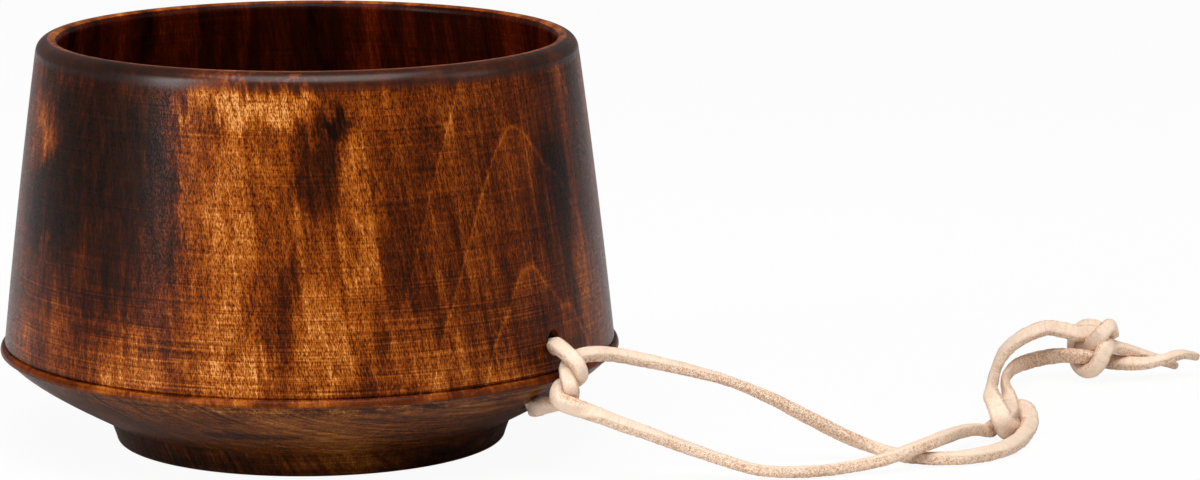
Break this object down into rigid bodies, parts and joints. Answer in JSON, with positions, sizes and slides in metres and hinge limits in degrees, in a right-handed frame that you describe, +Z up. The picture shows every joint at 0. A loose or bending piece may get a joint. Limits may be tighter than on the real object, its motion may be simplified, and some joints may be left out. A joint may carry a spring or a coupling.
{
  "type": "lacquered wooden mug",
  "caption": "Turned wooden mug with rounded rim, fine bead and low foot, and a leather thong hitched through a hole by the bead and knotted to itself.",
  "frame": {"origin": "middle of the foot, on the surface that the mug stands on", "axes": "+Z up along the turning axis; +X towards the side that the thong lies on, with its hole turned from +X towards -Y"},
  "size_m": [0.2237, 0.112, 0.0735],
  "materials": {
    "lacquered_wood": "thin brown lacquer rubbed over figured wood, satin",
    "leather": "undyed, matt, smooth on the grain side and fuzzy on the cut sides"
  },
  "bodies": {
    "root": {"mug_body": "lacquered_wood", "thong_upper_strand": "leather", "thong_lower_strand": "leather"}
  },
  "joints": []
}
